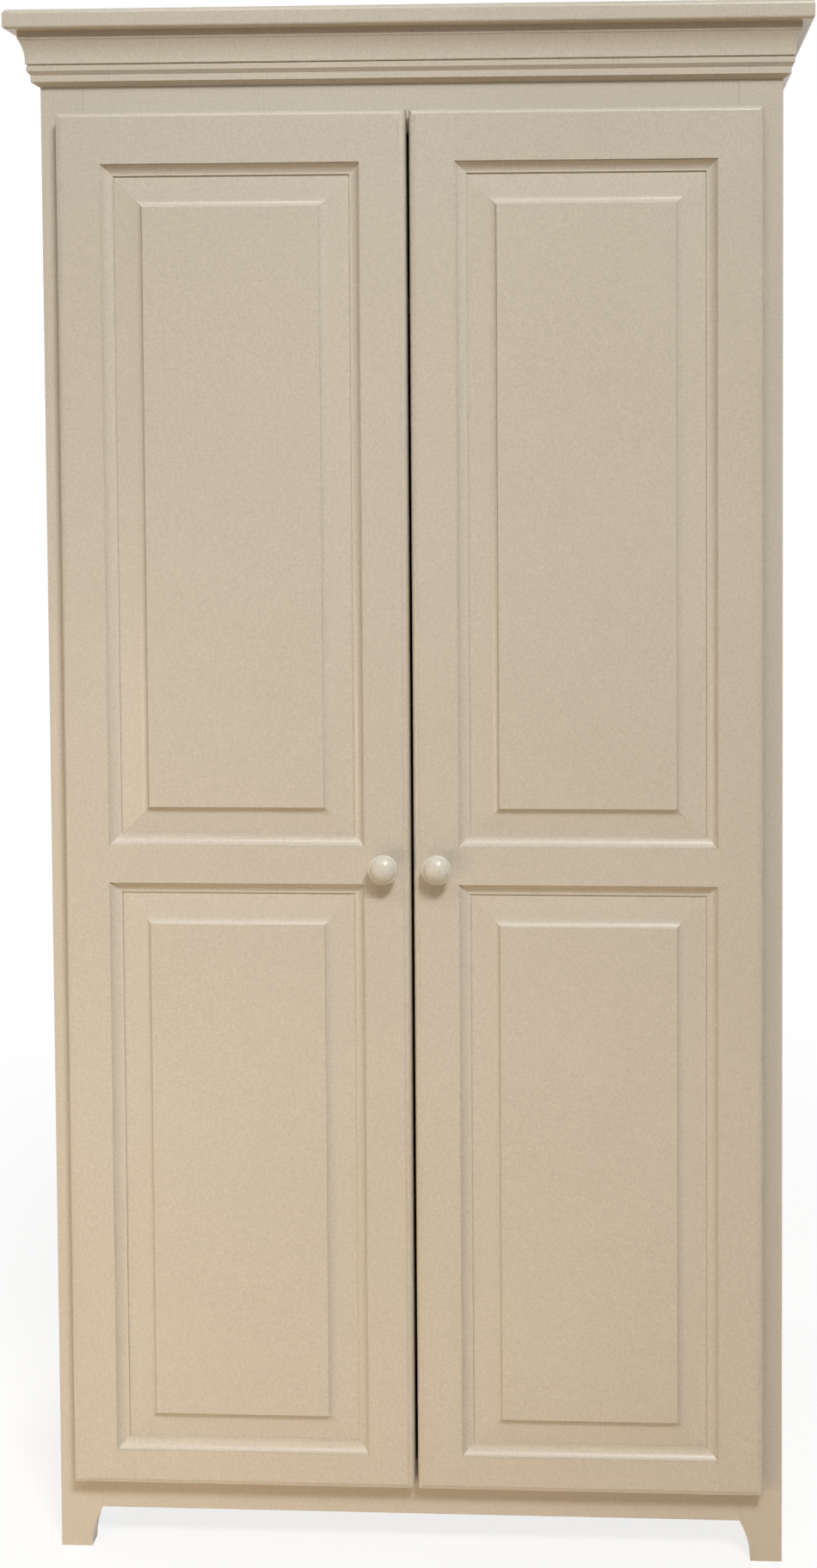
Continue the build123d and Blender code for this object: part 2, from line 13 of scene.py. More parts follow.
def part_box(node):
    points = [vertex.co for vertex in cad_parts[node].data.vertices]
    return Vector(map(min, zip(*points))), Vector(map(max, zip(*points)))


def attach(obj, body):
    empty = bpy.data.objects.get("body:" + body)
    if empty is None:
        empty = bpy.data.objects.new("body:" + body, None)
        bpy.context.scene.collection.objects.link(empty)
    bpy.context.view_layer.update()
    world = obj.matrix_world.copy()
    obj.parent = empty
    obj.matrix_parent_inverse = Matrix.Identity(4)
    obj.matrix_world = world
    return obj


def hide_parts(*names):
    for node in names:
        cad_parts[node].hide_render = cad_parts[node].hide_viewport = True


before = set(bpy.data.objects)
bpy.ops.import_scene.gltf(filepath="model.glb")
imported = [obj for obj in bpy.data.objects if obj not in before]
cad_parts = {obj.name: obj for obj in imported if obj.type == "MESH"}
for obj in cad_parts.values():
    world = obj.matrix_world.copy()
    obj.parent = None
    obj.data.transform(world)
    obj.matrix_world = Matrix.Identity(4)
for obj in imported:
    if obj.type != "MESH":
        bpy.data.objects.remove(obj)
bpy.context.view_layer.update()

Colour = tuple[float, float, float]
Point = tuple[float, float, float]
Box = tuple[Vector, Vector]
Socket = bpy.types.NodeSocket

MILLIMETRE = 0.001
MERGE_DISTANCE = 0.002 * MILLIMETRE
log = logging.getLogger("armoire")


class Side(Enum):
    """A door, and the side of the case that it hangs on."""

    LEFT = "left"
    RIGHT = "right"

    @property
    def body(self) -> str:
        """The name of the body that swings with this door."""
        return f"door_{self.value}"


class Grain(Enum):
    """The way a board's grain runs, as the turn that stands it upright."""

    UPRIGHT = (0.0, 0.0, 0.0)
    ACROSS = (0.0, math.pi / 2, 0.0)
    DEEP = (math.pi / 2, 0.0, 0.0)


class Facing(Enum):
    """The way a fastener's head looks."""

    CENTRE = "towards the middle of the case"
    BACK = "towards the back of the case"

    def direction(self, place: Vector) -> Vector:
        """Give the head's direction at a place.

        Args:
            place: where the fastener is.

        Returns:
            A unit vector along X or Y.
        """
        if self is Facing.BACK:
            return Vector((0.0, 1.0, 0.0))
        return Vector((-math.copysign(1.0, place.x), 0.0, 0.0))


class SocketKind(Enum):
    """The kinds of socket on the edge of a node group."""

    COLOUR = "NodeSocketColor"
    VALUE = "NodeSocketFloat"
    VECTOR = "NodeSocketVector"
    COUNT = "NodeSocketInt"
    GEOMETRY = "NodeSocketGeometry"
    MATERIAL = "NodeSocketMaterial"


class NodeSheet:
    """A node tree, with short calls that place nodes and link them."""

    def __init__(self, tree: bpy.types.NodeTree) -> None:
        """Start with an empty tree."""
        self.tree = tree
        self.tree.nodes.clear()

    def add(self, kind: str, inputs: dict | None = None, **settings: object) -> bpy.types.Node:
        """Place a node, set its properties and fill its inputs.

        Args:
            kind: the node's type name.
            inputs: a value or an output socket for each input, by name or number.
            settings: the node's own properties.

        Returns:
            The new node.
        """
        node = self.tree.nodes.new(kind)
        for name, value in settings.items():
            setattr(node, name, value)
        for key, value in (inputs or {}).items():
            self.fill(node.inputs[key], value)
        return node

    def fill(self, socket: Socket, value: object) -> None:
        """Link a socket to an output, or give it a plain value.

        Args:
            socket: the input to fill.
            value: an output socket, a number, a vector or a colour.
        """
        if isinstance(value, Socket):
            self.tree.links.new(value, socket)
        elif socket.type == "RGBA":
            socket.default_value = (*value, 1.0)
        else:
            socket.default_value = value

    def noise(self, vector: Socket, scale: float | Socket, detail: float = 2.0) -> Socket:
        """Place a noise texture and give its value."""
        node = self.add("ShaderNodeTexNoise", {"Vector": vector, "Scale": scale, "Detail": detail})
        return node.outputs["Fac"]

    def remap(
        self, value: Socket, source: tuple[float, float], target: tuple[object, object]
    ) -> Socket:
        """Map a value from one span to another, clamped.

        Args:
            value: the value to map.
            source: the span that it has.
            target: the span that it gets, as numbers or output sockets.

        Returns:
            The mapped value.
        """
        spans = {"Value": value, "From Min": source[0], "From Max": source[1]}
        spans |= {"To Min": target[0], "To Max": target[1]}
        return self.add("ShaderNodeMapRange", spans).outputs["Result"]

    def math(self, operation: str, *values: object) -> Socket:
        """Place a sum of numbers or sockets and give its result."""
        node = self.add("ShaderNodeMath", dict(enumerate(values)), operation=operation)
        return node.outputs[0]

    def blend(self, factor: object, first: object, second: object, kind: str = "MIX") -> Socket:
        """Mix two colours.

        Args:
            factor: how much of the second colour there is.
            first: the first colour, or its socket.
            second: the second colour, or its socket.
            kind: Blender's name for the way of mixing.

        Returns:
            The mixed colour.
        """
        colours = {0: factor, 6: first, 7: second}
        return self.add("ShaderNodeMix", colours, data_type="RGBA", blend_type=kind).outputs[2]

    def stretched(self, vector: Socket, along: float) -> Socket:
        """Draw a pattern out along the upright grain."""
        scaled = {"Vector": vector, "Scale": (1.0, 1.0, along)}
        return self.add("ShaderNodeMapping", scaled).outputs[0]


class EffectGroup:
    """A shader node group with named sockets, built once and placed in many materials."""

    name: str
    inputs: dict[str, tuple[SocketKind, object]]
    outputs: dict[str, SocketKind]

    def tree(self) -> bpy.types.NodeTree:
        """Build the group, or find it.

        Returns:
            The group's node tree.
        """
        found = bpy.data.node_groups.get(self.name)
        if found:
            return found
        tree = bpy.data.node_groups.new(self.name, "ShaderNodeTree")
        for name, (kind, value) in self.inputs.items():
            socket = tree.interface.new_socket(name, in_out="INPUT", socket_type=kind.value)
            if kind is SocketKind.COLOUR:
                socket.default_value = (*value, 1.0)
            elif kind is SocketKind.VALUE:
                socket.default_value = value
        for name, kind in self.outputs.items():
            tree.interface.new_socket(name, in_out="OUTPUT", socket_type=kind.value)
        sheet = NodeSheet(tree)
        entry = sheet.add("NodeGroupInput").outputs
        results = self.lay(sheet, entry)
        sheet.add("NodeGroupOutput", results)
        return tree

    def lay(self, sheet: NodeSheet, entry: bpy.types.NodeOutputs) -> dict[str, Socket]:
        """Lay the group's nodes.

        Args:
            sheet: the group's own sheet.
            entry: the group's inputs.

        Returns:
            A socket for each of the group's outputs.
        """
        raise NotImplementedError

    def place(self, sheet: NodeSheet, **values: object) -> bpy.types.NodeOutputs:
        """Place the group in a material.

        Args:
            sheet: the material's sheet.
            values: a value or socket for each input.

        Returns:
            The group's outputs.
        """
        node = sheet.add("ShaderNodeGroup", node_tree=self.tree())
        for name, value in values.items():
            sheet.fill(node.inputs[name], value)
        return node.outputs


class PaintSkin(EffectGroup):
    """Sprayed paint: slow drifts of tone, fine speckle and orange peel."""

    name = "paint_skin"
    inputs = {
        "Vector": (SocketKind.VECTOR, None),
        "Paint": (SocketKind.COLOUR, (0.6, 0.5, 0.4)),
        "Shade": (SocketKind.COLOUR, (0.5, 0.4, 0.3)),
        "Drift": (SocketKind.VALUE, 2.6),
        "Peel": (SocketKind.VALUE, 380.0),
        "Speckle": (SocketKind.VALUE, 0.03),
        "Roughness": (SocketKind.VALUE, 0.4),
    }
    outputs = {
        "Colour": SocketKind.COLOUR,
        "Roughness": SocketKind.VALUE,
        "Height": SocketKind.VALUE,
    }
    tone_span = (0.35, 0.7)
    noise_span = (0.3, 0.7)
    peel_share = 0.35
    patch_share = 9.0
    gloss_swing = 0.03

    def lay(self, sheet: NodeSheet, entry: bpy.types.NodeOutputs) -> dict[str, Socket]:
        """Lay the drift, the speckle and the peel.

        Args:
            sheet: the group's own sheet.
            entry: the group's inputs.

        Returns:
            The paint's colour, roughness and height.
        """
        drift = sheet.noise(entry["Vector"], entry["Drift"], 3.0)
        tone = sheet.remap(drift, self.tone_span, (0.0, 1.0))
        toned = sheet.blend(tone, entry["Paint"], entry["Shade"])
        fine = sheet.noise(entry["Vector"], entry["Peel"], 3.0)
        darkest = sheet.math("SUBTRACT", 1.0, entry["Speckle"])
        brightest = sheet.math("ADD", 1.0, entry["Speckle"])
        speck = sheet.remap(fine, self.noise_span, (darkest, brightest))
        colour = sheet.blend(1.0, toned, speck, "MULTIPLY")
        peel = sheet.math("MULTIPLY", entry["Peel"], self.peel_share)
        height = sheet.noise(entry["Vector"], peel, 1.0)
        patch = sheet.noise(
            entry["Vector"], sheet.math("MULTIPLY", entry["Drift"], self.patch_share)
        )
        gloss = sheet.remap(patch, self.noise_span, (-self.gloss_swing, self.gloss_swing))
        roughness = sheet.math("ADD", entry["Roughness"], gloss)
        return {"Colour": colour, "Roughness": roughness, "Height": height}


class WoodGrain(EffectGroup):
    """Growth rings and fibres that run upright."""

    name = "wood_grain"
    inputs = {
        "Vector": (SocketKind.VECTOR, None),
        "Early": (SocketKind.COLOUR, (0.7, 0.55, 0.36)),
        "Late": (SocketKind.COLOUR, (0.5, 0.34, 0.18)),
        "Rings": (SocketKind.VALUE, 40.0),
        "Waver": (SocketKind.VALUE, 0.05),
        "Fibre": (SocketKind.VALUE, 600.0),
    }
    outputs = {"Colour": SocketKind.COLOUR, "Height": SocketKind.VALUE}
    ring_draw = 0.08
    fibre_draw = 0.015
    sway_scale = 7.0
    ring_distortion = 1.2
    ring_share = 0.55
    fibre_share = 0.5
    figure_span = (0.15, 0.9)

    def lay(self, sheet: NodeSheet, entry: bpy.types.NodeOutputs) -> dict[str, Socket]:
        """Lay the wavering rings and the fibres across them.

        Args:
            sheet: the group's own sheet.
            entry: the group's inputs.

        Returns:
            The wood's colour and height.
        """
        drawn = sheet.stretched(entry["Vector"], self.ring_draw)
        sway = sheet.math("SUBTRACT", sheet.noise(drawn, self.sway_scale), 0.5)
        shift = sheet.add("ShaderNodeCombineXYZ", {"X": sway, "Y": sway})
        bent = sheet.add(
            "ShaderNodeVectorMath",
            {0: shift.outputs[0], 1: entry["Waver"], 2: drawn},
            operation="MULTIPLY_ADD",
        )
        rings = sheet.add(
            "ShaderNodeTexWave",
            {
                "Vector": bent.outputs[0],
                "Scale": entry["Rings"],
                "Distortion": self.ring_distortion,
                "Detail": 2.0,
            },
            wave_type="RINGS",
            rings_direction="Z",
        )
        fibre = sheet.noise(sheet.stretched(entry["Vector"], self.fibre_draw), entry["Fibre"])
        ring_part = sheet.math("MULTIPLY", rings.outputs["Fac"], self.ring_share)
        figure = sheet.math("MULTIPLY_ADD", fibre, self.fibre_share, ring_part)
        lateness = sheet.remap(figure, self.figure_span, (0.0, 1.0))
        colour = sheet.blend(lateness, entry["Early"], entry["Late"])
        return {"Colour": colour, "Height": figure}


class PlatedSkin(EffectGroup):
    """Plated metal: hairline brushing and soft clouds in the plating."""

    name = "plated_skin"
    inputs = {
        "Vector": (SocketKind.VECTOR, None),
        "Metal": (SocketKind.COLOUR, (0.6, 0.6, 0.6)),
        "Cloud": (SocketKind.COLOUR, (0.5, 0.5, 0.5)),
        "Roughness": (SocketKind.VALUE, 0.3),
    }
    outputs = {
        "Colour": SocketKind.COLOUR,
        "Roughness": SocketKind.VALUE,
        "Height": SocketKind.VALUE,
    }
    cloud_scale = 120.0
    cloud_span = (0.35, 0.65)
    brush_scale = 2400.0
    brush_draw = 0.04
    brush_span = (0.3, 0.7)
    gloss_swing = 0.05

    def lay(self, sheet: NodeSheet, entry: bpy.types.NodeOutputs) -> dict[str, Socket]:
        """Lay the clouds and the brushing.

        Args:
            sheet: the group's own sheet.
            entry: the group's inputs.

        Returns:
            The plating's colour, roughness and height.
        """
        cloud = sheet.noise(entry["Vector"], self.cloud_scale, 3.0)
        cloudiness = sheet.remap(cloud, self.cloud_span, (0.0, 1.0))
        colour = sheet.blend(cloudiness, entry["Metal"], entry["Cloud"])
        brush = sheet.noise(sheet.stretched(entry["Vector"], self.brush_draw), self.brush_scale)
        gloss = sheet.remap(brush, self.brush_span, (-self.gloss_swing, self.gloss_swing))
        roughness = sheet.math("ADD", entry["Roughness"], gloss)
        return {"Colour": colour, "Roughness": roughness, "Height": brush}


PAINT_SKIN = PaintSkin()
WOOD_GRAIN = WoodGrain()
PLATED_SKIN = PlatedSkin()


class Finish:
    """A surface finish that makes its material once."""

    name: str

    def material(self) -> bpy.types.Material:
        """Build the finish's material, or find it.

        Returns:
            The material.
        """
        label = f"{self.name}_finish"
        found = bpy.data.materials.get(label)
        if found:
            return found
        made = bpy.data.materials.new(label)
        made.use_nodes = True
        sheet = NodeSheet(made.node_tree)
        shader = sheet.add("ShaderNodeBsdfPrincipled")
        sheet.add("ShaderNodeOutputMaterial", {"Surface": shader.outputs[0]})
        self.lay(sheet, shader)
        return made

    def lay(self, sheet: NodeSheet, shader: bpy.types.Node) -> None:
        """Lay the nodes that feed the shader.

        Args:
            sheet: the material's sheet.
            shader: its Principled shader.
        """
        raise NotImplementedError


def turned_place(sheet: NodeSheet, grain: Grain, pith: Point = (0.0, 0.0, 0.0)) -> Socket:
    """Give the place on a piece, turned so that its grain is upright.

    Args:
        sheet: the material's sheet.
        grain: the way that the grain runs.
        pith: how far the heart of the tree lies from the turned origin.

    Returns:
        The turned place.
    """
    place = sheet.add("ShaderNodeTexCoord").outputs["Object"]
    turn = {"Vector": place, "Rotation": grain.value, "Location": pith}
    return sheet.add("ShaderNodeMapping", turn).outputs[0]


def relief(sheet: NodeSheet, height: Socket, depth: float) -> Socket:
    """Turn a height into a normal.

    Args:
        sheet: the material's sheet.
        height: the height, from 0 to about 1.
        depth: what a height of 1 is in metres.

    Returns:
        The bumped normal.
    """
    return sheet.add("ShaderNodeBump", {"Height": height, "Distance": depth}).outputs["Normal"]


@dataclass(frozen=True)
class Paint(Finish):
    """Satin paint on wood, with a trace of the grain under it."""

    name: str
    colour: Colour
    shade: Colour
    grain: Grain = Grain.UPRIGHT
    roughness: float = 0.31
    speckle: float = 0.07
    peel: float = 340.0
    peel_depth: float = 0.08 * MILLIMETRE
    grain_show: float = 0.12
    fibre: float = 250.0
    rings: float = 45.0
    pith: Point = (0.31, 0.2, 0.0)

    def lay(self, sheet: NodeSheet, shader: bpy.types.Node) -> None:
        """Lay the paint over the grain.

        Args:
            sheet: the material's sheet.
            shader: its Principled shader.
        """
        place = turned_place(sheet, self.grain, self.pith)
        skin = PAINT_SKIN.place(
            sheet,
            Vector=place,
            Paint=self.colour,
            Shade=self.shade,
            Peel=self.peel,
            Speckle=self.speckle,
            Roughness=self.roughness,
        )
        wood = WOOD_GRAIN.place(sheet, Vector=place, Rings=self.rings, Fibre=self.fibre)
        height = sheet.math("MULTIPLY_ADD", wood["Height"], self.grain_show, skin["Height"])
        sheet.fill(shader.inputs["Base Color"], skin["Colour"])
        sheet.fill(shader.inputs["Roughness"], skin["Roughness"])
        sheet.fill(shader.inputs["Normal"], relief(sheet, height, self.peel_depth))


@dataclass(frozen=True)
class ClearWood(Finish):
    """Bare or clear-coated wood."""

    name: str
    early: Colour
    late: Colour
    grain: Grain
    rings: float
    waver: float
    pith: Point
    roughness: float = 0.5
    gloss_swing: float = 0.08
    gloss_span: tuple[float, float] = (0.2, 0.9)
    grain_depth: float = 0.15 * MILLIMETRE

    def lay(self, sheet: NodeSheet, shader: bpy.types.Node) -> None:
        """Lay the grain.

        Args:
            sheet: the material's sheet.
            shader: its Principled shader.
        """
        place = turned_place(sheet, self.grain, self.pith)
        wood = WOOD_GRAIN.place(
            sheet,
            Vector=place,
            Early=self.early,
            Late=self.late,
            Rings=self.rings,
            Waver=self.waver,
        )
        sheet.fill(shader.inputs["Base Color"], wood["Colour"])
        sheet.fill(shader.inputs["Normal"], relief(sheet, wood["Height"], self.grain_depth))
        gloss = (self.roughness - self.gloss_swing, self.roughness + self.gloss_swing)
        sheet.fill(shader.inputs["Roughness"], sheet.remap(wood["Height"], self.gloss_span, gloss))


@dataclass(frozen=True)
class Plating(Finish):
    """Plated steel or cast metal."""

    name: str
    metal: Colour
    cloud: Colour
    roughness: float
    brush_depth: float = 0.02 * MILLIMETRE

    def lay(self, sheet: NodeSheet, shader: bpy.types.Node) -> None:
        """Lay the plating.

        Args:
            sheet: the material's sheet.
            shader: its Principled shader.
        """
        place = turned_place(sheet, Grain.UPRIGHT)
        skin = PLATED_SKIN.place(
            sheet, Vector=place, Metal=self.metal, Cloud=self.cloud, Roughness=self.roughness
        )
        shader.inputs["Metallic"].default_value = 1.0
        sheet.fill(shader.inputs["Base Color"], skin["Colour"])
        sheet.fill(shader.inputs["Roughness"], skin["Roughness"])
        sheet.fill(shader.inputs["Normal"], relief(sheet, skin["Height"], self.brush_depth))


@dataclass(frozen=True)
class SoftRubber(Finish):
    """Milky rubber with a moulded skin."""

    name: str
    colour: Colour
    shade: Colour
    roughness: float = 0.35
    drift: float = 160.0
    peel: float = 1800.0
    peel_depth: float = 0.03 * MILLIMETRE
    transmission: float = 0.35

    def lay(self, sheet: NodeSheet, shader: bpy.types.Node) -> None:
        """Lay the moulded skin.

        Args:
            sheet: the material's sheet.
            shader: its Principled shader.
        """
        skin = PAINT_SKIN.place(
            sheet,
            Vector=turned_place(sheet, Grain.UPRIGHT),
            Paint=self.colour,
            Shade=self.shade,
            Drift=self.drift,
            Peel=self.peel,
            Roughness=self.roughness,
        )
        shader.inputs["Transmission Weight"].default_value = self.transmission
        sheet.fill(shader.inputs["Base Color"], skin["Colour"])
        sheet.fill(shader.inputs["Roughness"], skin["Roughness"])
        sheet.fill(shader.inputs["Normal"], relief(sheet, skin["Height"], self.peel_depth))


PAINT_COLOUR = (0.578, 0.533, 0.45)
PAINT_SHADE = (0.556, 0.509, 0.426)
INSIDE_COLOUR = (0.61, 0.525, 0.405)
INSIDE_SHADE = (0.57, 0.48, 0.36)

PAINT_UPRIGHT = Paint("paint_upright", PAINT_COLOUR, PAINT_SHADE)
PAINT_ACROSS = Paint("paint_across", PAINT_COLOUR, PAINT_SHADE, Grain.ACROSS)
PAINT_DEEP = Paint("paint_deep", PAINT_COLOUR, PAINT_SHADE, Grain.DEEP)
INSIDE_ACROSS = Paint(
    "inside_across", INSIDE_COLOUR, INSIDE_SHADE, Grain.ACROSS, roughness=0.5, grain_show=0.8
)
INSIDE_DEEP = Paint(
    "inside_deep", INSIDE_COLOUR, INSIDE_SHADE, Grain.DEEP, roughness=0.5, grain_show=0.8
)
KNOB_PAINT = Paint("knob_paint", (0.61, 0.59, 0.525), (0.585, 0.56, 0.49), grain_show=0.1)
PLYWOOD = ClearWood(
    "plywood",
    early=(0.72, 0.56, 0.37),
    late=(0.58, 0.41, 0.24),
    grain=Grain.UPRIGHT,
    rings=14.0,
    waver=0.35,
    pith=(0.12, -0.24, 0.0),
)
ROD_WOOD = ClearWood(
    "rod_wood",
    early=(0.7, 0.53, 0.33),
    late=(0.52, 0.35, 0.19),
    grain=Grain.ACROSS,
    rings=70.0,
    waver=0.02,
    pith=(0.0, 0.03, 0.0),
    roughness=0.4,
)
HINGE_STEEL = Plating("hinge_steel", (0.66, 0.65, 0.62), (0.58, 0.57, 0.55), roughness=0.2)
ZINC = Plating("zinc", (0.68, 0.69, 0.7), (0.56, 0.57, 0.57), roughness=0.36)
BUMPER_RUBBER = SoftRubber("bumper_rubber", (0.72, 0.7, 0.64), (0.62, 0.6, 0.54))


@dataclass(frozen=True)
class EasedEdge:
    """Sanded arrises of a board, which also open a hairline at its joints."""

    width: float = 0.8 * MILLIMETRE
    segments: int = 2
    sharpest_angle: float = math.radians(40.0)

    def apply(self, piece: bpy.types.Object) -> None:
        """Ease a piece's edges with modifiers.

        Args:
            piece: a CAD node's object.
        """
        weld = piece.modifiers.new("joined_faces", "WELD")
        weld.merge_threshold = MERGE_DISTANCE
        bevel = piece.modifiers.new("eased_edges", "BEVEL")
        bevel.width = self.width
        bevel.segments = self.segments
        bevel.limit_method = "ANGLE"
        bevel.angle_limit = self.sharpest_angle
        bevel.harden_normals = True


BOARD_EDGE = EasedEdge()
FRAME_EDGE = EasedEdge(width=0.5 * MILLIMETRE)


def dress(node: str, finish: Finish, edge: EasedEdge | None = None) -> None:
    """Give a CAD node its finish.

    Args:
        node: the node's name.
        finish: the finish that it gets.
        edge: how its arrises are eased, if they are.
    """
    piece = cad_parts[node]
    piece.material_slots[0].material = finish.material()
    if edge:
        edge.apply(piece)
    log.info("%s: %s", node, finish.name)


def solid_boxes(node: str) -> list[Box]:
    """Find the boxes of the separate solids in a CAD node.

    Args:
        node: the node's name.

    Returns:
        The lowest and highest corner of each solid.
    """
    copy = bmesh.new()
    copy.from_mesh(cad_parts[node].data)
    bmesh.ops.remove_doubles(copy, verts=copy.verts, dist=MERGE_DISTANCE)
    waiting = set(copy.verts)
    boxes = []
    while waiting:
        solid = {waiting.pop()}
        edge_of_search = list(solid)
        while edge_of_search:
            corner = edge_of_search.pop()
            for link in corner.link_edges:
                other = link.other_vert(corner)
                if other in waiting:
                    waiting.remove(other)
                    solid.add(other)
                    edge_of_search.append(other)
        places = [corner.co for corner in solid]
        low = Vector(min(place[axis] for place in places) for axis in range(3))
        high = Vector(max(place[axis] for place in places) for axis in range(3))
        boxes.append((low, high))
    copy.free()
    return sorted(boxes, key=lambda box: tuple(round(value, 5) for value in box[0]))


@dataclass(frozen=True)
class FastenerShape:
    """The sizes of one kind of fastener, with its origin at the top of its rim."""

    head_radius: float
    top_radius: float
    head_height: float
    crown: float
    slot_length: float = 0.0
    slot_width: float = 0.0
    slot_depth: float = 0.0
    shank_radius: float = 0.0
    shank_length: float = 0.0


class FastenerTree:
    """The geometry nodes that put a fastener on each point."""

    name = "fasteners"
    sides = 32
    shank_sides = 16
    crowned_above = 0.9
    facing_attribute = "facing"
    sizes = {
        "Head Radius": "head_radius",
        "Top Radius": "top_radius",
        "Head Height": "head_height",
        "Crown": "crown",
        "Slot Length": "slot_length",
        "Slot Width": "slot_width",
        "Slot Depth": "slot_depth",
        "Shank Radius": "shank_radius",
        "Shank Length": "shank_length",
    }

    def tree(self) -> bpy.types.NodeTree:
        """Build the tree, or find it.

        Returns:
            The geometry node tree.
        """
        found = bpy.data.node_groups.get(self.name)
        if found:
            return found
        tree = bpy.data.node_groups.new(self.name, "GeometryNodeTree")
        sockets = {"Points": SocketKind.GEOMETRY} | {name: SocketKind.VALUE for name in self.sizes}
        sockets |= {"Seed": SocketKind.COUNT, "Material": SocketKind.MATERIAL}
        for name, kind in sockets.items():
            tree.interface.new_socket(name, in_out="INPUT", socket_type=kind.value)
        tree.interface.new_socket(
            "Fasteners", in_out="OUTPUT", socket_type=SocketKind.GEOMETRY.value
        )
        sheet = NodeSheet(tree)
        entry = sheet.add("NodeGroupInput").outputs
        head = self.slotted(sheet, entry, self.domed_head(sheet, entry))
        whole = self.with_shank(sheet, entry, head)
        laid = self.on_points(sheet, entry, whole)
        real = sheet.add("GeometryNodeRealizeInstances", {"Geometry": laid}).outputs[0]
        coat = {"Geometry": real, "Material": entry["Material"]}
        coated = sheet.add("GeometryNodeSetMaterial", coat)
        sheet.add("NodeGroupOutput", {"Fasteners": coated.outputs[0]})
        return tree

    def domed_head(self, sheet: NodeSheet, entry: bpy.types.NodeOutputs) -> Socket:
        """Make a tapered head with a crowned top.

        Args:
            sheet: the tree's sheet.
            entry: the tree's inputs.

        Returns:
            The head's mesh, standing on the origin.
        """
        blank = sheet.add(
            "GeometryNodeMeshCone",
            {
                "Vertices": self.sides,
                "Side Segments": 1,
                "Fill Segments": 4,
                "Radius Top": entry["Top Radius"],
                "Radius Bottom": entry["Head Radius"],
                "Depth": entry["Head Height"],
            },
        )
        position = sheet.add("GeometryNodeInputPosition").outputs[0]
        along = sheet.add("ShaderNodeSeparateXYZ", {0: position}).outputs
        squares = [sheet.math("MULTIPLY", along[axis], along[axis]) for axis in (0, 1)]
        out = sheet.math("SQRT", sheet.math("ADD", *squares))
        share = sheet.math("DIVIDE", out, entry["Top Radius"])
        fall = sheet.math("SUBTRACT", 1.0, sheet.math("MULTIPLY", share, share))
        rise = sheet.math("MULTIPLY", fall, entry["Crown"])
        shoulder = sheet.math("MULTIPLY", entry["Head Height"], self.crowned_above)
        on_top = sheet.math("GREATER_THAN", along[2], shoulder)
        offset = sheet.add("ShaderNodeCombineXYZ", {"Z": sheet.math("MULTIPLY", rise, on_top)})
        raised = {"Geometry": blank.outputs["Mesh"], "Offset": offset.outputs[0]}
        return sheet.add("GeometryNodeSetPosition", raised).outputs[0]

    def slotted(self, sheet: NodeSheet, entry: bpy.types.NodeOutputs, head: Socket) -> Socket:
        """Cut a cross recess into a head, where its slot has a depth.

        Args:
            sheet: the tree's sheet.
            entry: the tree's inputs.
            head: the plain head.

        Returns:
            The head with or without its recess.
        """
        top = sheet.math("ADD", entry["Head Height"], entry["Crown"])
        depth = sheet.math("MULTIPLY", entry["Slot Depth"], 2.0)
        cut = sheet.add("GeometryNodeMeshBoolean", {"Mesh 1": head}, operation="DIFFERENCE")
        for along, across in (("Slot Length", "Slot Width"), ("Slot Width", "Slot Length")):
            size = sheet.add("ShaderNodeCombineXYZ", {0: entry[along], 1: entry[across], 2: depth})
            blade = sheet.add("GeometryNodeMeshCube", {"Size": size.outputs[0]})
            lift = sheet.add("ShaderNodeCombineXYZ", {"Z": top})
            move = {"Geometry": blade.outputs[0], "Translation": lift.outputs[0]}
            raised = sheet.add("GeometryNodeTransform", move)
            sheet.tree.links.new(raised.outputs[0], cut.inputs["Mesh 2"])
        has_slot = sheet.math("GREATER_THAN", entry["Slot Depth"], 0.0)
        chosen = {"Switch": has_slot, "False": head, "True": cut.outputs["Mesh"]}
        return sheet.add("GeometryNodeSwitch", chosen, input_type="GEOMETRY").outputs[0]

    def with_shank(self, sheet: NodeSheet, entry: bpy.types.NodeOutputs, head: Socket) -> Socket:
        """Put a shank under a head, where it has a length.

        Args:
            sheet: the tree's sheet.
            entry: the tree's inputs.
            head: the head.

        Returns:
            The whole fastener, with the foot of its head at the origin.
        """
        rod = sheet.add(
            "GeometryNodeMeshCylinder",
            {
                "Vertices": self.shank_sides,
                "Radius": entry["Shank Radius"],
                "Depth": entry["Shank Length"],
            },
        )
        middle = sheet.math("MULTIPLY", entry["Shank Length"], -0.5)
        sunk = sheet.add("ShaderNodeCombineXYZ", {"Z": middle})
        move = {"Geometry": rod.outputs["Mesh"], "Translation": sunk.outputs[0]}
        placed = sheet.add("GeometryNodeTransform", move)
        joined = sheet.add("GeometryNodeJoinGeometry", {0: head})
        sheet.tree.links.new(placed.outputs[0], joined.inputs[0])
        has_shank = sheet.math("GREATER_THAN", entry["Shank Length"], 0.0)
        chosen = {"Switch": has_shank, "False": head, "True": joined.outputs[0]}
        return sheet.add("GeometryNodeSwitch", chosen, input_type="GEOMETRY").outputs[0]

